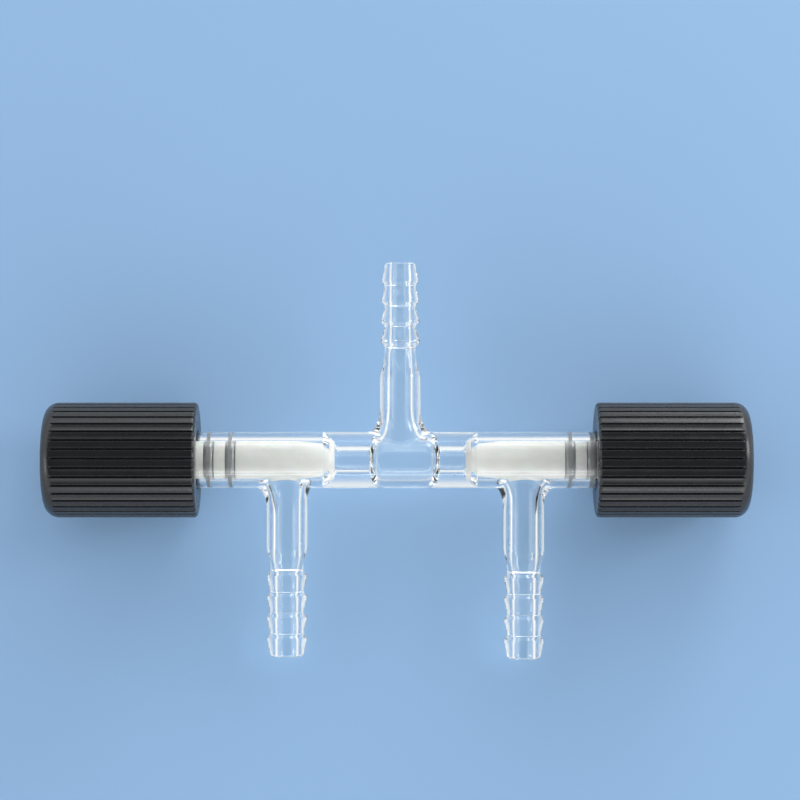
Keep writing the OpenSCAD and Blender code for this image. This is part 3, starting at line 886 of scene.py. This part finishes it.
def ring_of_copies_tree():
    """Geometry nodes: copies of the piece turned evenly about the x axis, then welded into one."""
    tree = bpy.data.node_groups.new("copies round an axis", "GeometryNodeTree")
    tree.interface.new_socket("Geometry", in_out="INPUT", socket_type="NodeSocketGeometry")
    names = {
        "count": socket_of(tree, "Count", "NodeSocketInt", 12),
        "first": socket_of(tree, "First Angle", "NodeSocketFloat", 0.0),
        "weld": socket_of(tree, "Weld Distance", "NodeSocketFloat", 0.0001),
        "material": socket_of(tree, "Material", "NodeSocketMaterial"),
    }
    tree.interface.new_socket("Geometry", in_out="OUTPUT", socket_type="NodeSocketGeometry")
    new, link = tree.nodes.new, tree.links.new
    given, made = new("NodeGroupInput"), new("NodeGroupOutput")
    points = new("GeometryNodePoints")
    link(given.outputs["Count"], points.inputs["Count"])
    step = new("ShaderNodeMath")
    step.operation = "DIVIDE"
    step.inputs[0].default_value = TWO_PI
    link(given.outputs["Count"], step.inputs[1])
    turn = new("ShaderNodeMath")
    turn.operation = "MULTIPLY_ADD"
    link(new("GeometryNodeInputIndex").outputs[0], turn.inputs[0])
    link(step.outputs[0], turn.inputs[1])
    link(given.outputs["First Angle"], turn.inputs[2])
    rotation = new("FunctionNodeAxisAngleToRotation")
    rotation.inputs["Axis"].default_value = (1, 0, 0)
    link(turn.outputs[0], rotation.inputs["Angle"])
    copies = new("GeometryNodeInstanceOnPoints")
    link(points.outputs[0], copies.inputs["Points"])
    link(given.outputs["Geometry"], copies.inputs["Instance"])
    link(rotation.outputs[0], copies.inputs["Rotation"])
    real = new("GeometryNodeRealizeInstances")
    link(copies.outputs[0], real.inputs[0])
    weld = new("GeometryNodeMergeByDistance")
    link(real.outputs[0], weld.inputs["Geometry"])
    link(given.outputs["Weld Distance"], weld.inputs["Distance"])
    paint = new("GeometryNodeSetMaterial")
    link(weld.outputs[0], paint.inputs["Geometry"])
    link(given.outputs["Material"], paint.inputs["Material"])
    link(paint.outputs[0], made.inputs[0])
    return tree, names


def grown(source, tree, names, **values):
    """Runs a geometry tree over a mesh or curve and gives back the plain mesh."""
    holder = bpy.data.objects.new("holder", source)
    bpy.context.scene.collection.objects.link(holder)
    modifier = holder.modifiers.new("grow", "NODES")
    modifier.node_group = tree
    for key, value in values.items():
        modifier[names[key]] = value
    bpy.context.view_layer.update()
    evaluated = holder.evaluated_get(bpy.context.evaluated_depsgraph_get())
    made = bpy.data.meshes.new_from_object(evaluated)
    bpy.data.objects.remove(holder)
    return made


copies_tree, copies_names = ring_of_copies_tree()

for side, name, half in ((-1, "left", LEFT_HALF), (1, "right", RIGHT_HALF)):
    mouth, outer_end = reach_of(f"{name}_knob", side)
    sector = rib_sector(mouth, outer_end, half + NECK_CLEAR)
    # In the valve's frame the bench lies along [-sin(roll), -side*cos(roll)]
    bench = math.atan2(-side * math.cos(ROLL), -math.sin(ROLL))
    knob_mesh = with_outward_faces(grown(sector, copies_tree, copies_names, count=RIB_COUNT, first=bench,
                                         weld=0.002, material=knob_look))
    piece(f"{name}_ribbed_knob", moved(knob_mesh, to_side(side)), knob_look, f"{name}_handle",
          [f"{name}_knob"])
    dish = outer_end - 0.2
    cap_outline = softened([
        (ON_AXIS, outer_end - CAP_T), (CAP_R, outer_end - CAP_T), (CAP_R, outer_end),
        (CAP_R - 1.1, outer_end), (CAP_R - 1.3, dish), (ON_AXIS, dish)], 0.25)
    cap_mesh = turned_mesh("cap", subdivided(cap_outline, 2.5))
    piece(f"{name}_cap", moved(cap_mesh, to_side(side)), cap_look, f"{name}_handle",
          [f"{name}_end_cap"])

# ---- Floor, lights and camera ----


def floor_cloth():
    """Pale blue satin cloth, painted whiter at a low angle: a painted sheen in its base colour.

    Rays that crossed only a glass wall, and not the bore behind it, see a painted glow on it: the cloth emits
    light there, though it is no lamp.
    """
    f = Finish("pale blue satin cloth")
    f.set(Roughness=0.7, Coat_Weight=0.4, Coat_Roughness=0.3)

    def slant(low, high, top):
        weight = f.node("ShaderNodeLayerWeight")
        weight.inputs["Blend"].default_value = 0.5
        made = f.node("ShaderNodeMapRange", interpolation_type="SMOOTHSTEP")
        for key, value in (("From Min", low), ("From Max", high), ("To Min", 0.0), ("To Max", top)):
            made.inputs[key].default_value = value
        f.link(weight.outputs["Facing"], made.inputs["Value"])
        return made.outputs["Result"]

    path = f.node("ShaderNodeLightPath").outputs
    wall_only = f.maths("MULTIPLY", f.maths("LESS_THAN", path["Transmission Depth"], 2.5),
                        path["Is Transmission Ray"])
    # Painted sheen: the base colour turns from blue to near white as the floor is seen at a lower angle.
    f.link(f.blended(slant(0.09, 0.72, 0.9), (0.38, 0.62, 0.95), (0.88, 0.93, 0.98)),
           f.shader.inputs["Base Color"])
    # Painted glow: white emission on the floor, only for rays that crossed a single glass wall, and stronger
    # the lower the angle.
    painted_glow = f.node("ShaderNodeEmission")
    painted_glow.inputs["Color"].default_value = (0.95, 0.98, 1.0, 1)
    mix = f.node("ShaderNodeMixShader")
    f.link(f.maths("MULTIPLY", slant(0.16, 0.62, 1.0), wall_only), mix.inputs[0])
    f.link(f.shader.outputs["BSDF"], mix.inputs[1])
    f.link(painted_glow.outputs[0], mix.inputs[2])
    f.link(mix.outputs[0], f.output.inputs["Surface"])
    f.material.cycles.emission_sampling = "NONE"
    return f.material


floor_mesh = bpy.data.meshes.new("floor")
reach = 6.0
floor_mesh.from_pydata([(-reach, -reach, 0), (reach, -reach, 0), (reach, reach, 0), (-reach, reach, 0)], [],
                       [(0, 1, 2, 3)])
floor = bpy.data.objects.new("floor", floor_mesh)
floor_mesh.materials.append(floor_cloth())
bpy.context.scene.collection.objects.link(floor)


def softbox(name, place, width, height, power, aim=(0, 0, 0.014)):
    """A soft studio lamp at a place in metres, facing the part."""
    lamp = bpy.data.lights.new(name, "AREA")
    lamp.shape = "RECTANGLE"
    lamp.size, lamp.size_y = width, height
    lamp.energy = power
    obj = bpy.data.objects.new(name, lamp)
    obj.location = place
    obj.rotation_euler = (Vector(aim) - Vector(place)).to_track_quat("-Z", "Y").to_euler()
    bpy.context.scene.collection.objects.link(obj)


softbox("far light", (0.4, 1.0, 0.36), 1.25, 0.12, 1.25)
softbox("far right light", (0.42, 0.95, 0.23), 0.4, 0.36, 2.5, (0.08, 0, 0.014))
softbox("near light", (0.35, -1.0, 0.34), 1.1, 0.12, 1.75)
softbox("left light", (-1.0, -0.2, 0.34), 0.4, 0.2, 0.8)
softbox("right light", (1.0, 0.22, 0.42), 0.35, 0.25, 2.4)

# Pale walls all round and a darker ceiling
world = bpy.data.worlds.new("room")
bpy.context.scene.world = world
world.use_nodes = True
room = world.node_tree
direction = room.nodes.new("ShaderNodeTexCoord").outputs["Generated"]
height = room.nodes.new("ShaderNodeSeparateXYZ")
room.links.new(direction, height.inputs[0])
walls = room.nodes.new("ShaderNodeMapRange")
walls.interpolation_type = "SMOOTHSTEP"
for key, value in (("From Min", 0.45), ("From Max", 0.72), ("To Min", 1.42), ("To Max", 0.2)):
    walls.inputs[key].default_value = value
room.links.new(height.outputs["Z"], walls.inputs["Value"])
sky = room.nodes["Background"]
sky.inputs["Color"].default_value = (0.94, 0.97, 1.0, 1)
seen = room.nodes.new("ShaderNodeMix")
room.links.new(room.nodes.new("ShaderNodeLightPath").outputs["Is Camera Ray"], seen.inputs["Factor"])
room.links.new(walls.outputs["Result"], seen.inputs["A"])
seen.inputs["B"].default_value = 0.9
room.links.new(seen.outputs["Result"], sky.inputs["Strength"])

CAMERA_HEIGHT = 680.0   # above the plane of the arms
VIEW_WIDTH = 200.0      # what the camera sees across that plane

camera_data = bpy.data.cameras.new("camera")
camera_data.sensor_width = 36
camera_data.lens = CAMERA_HEIGHT / VIEW_WIDTH * 36
camera = bpy.data.objects.new("camera", camera_data)
bpy.context.scene.collection.objects.link(camera)
place = laid_down([-0.05, 15.0, CAMERA_HEIGHT])
turn = Matrix([[TURN[i][j] for j in range(3)] for i in range(3)]).to_4x4()
camera.matrix_world = Matrix.Translation(Vector(place)) @ turn
bpy.context.scene.camera = camera
bpy.context.scene.view_settings.view_transform = "Standard"
# Light turns round many times inside thick glass before it leaves
bpy.context.scene.cycles.max_bounces = 32
bpy.context.scene.cycles.transmission_bounces = 32
bpy.context.scene.cycles.glossy_bounces = 24
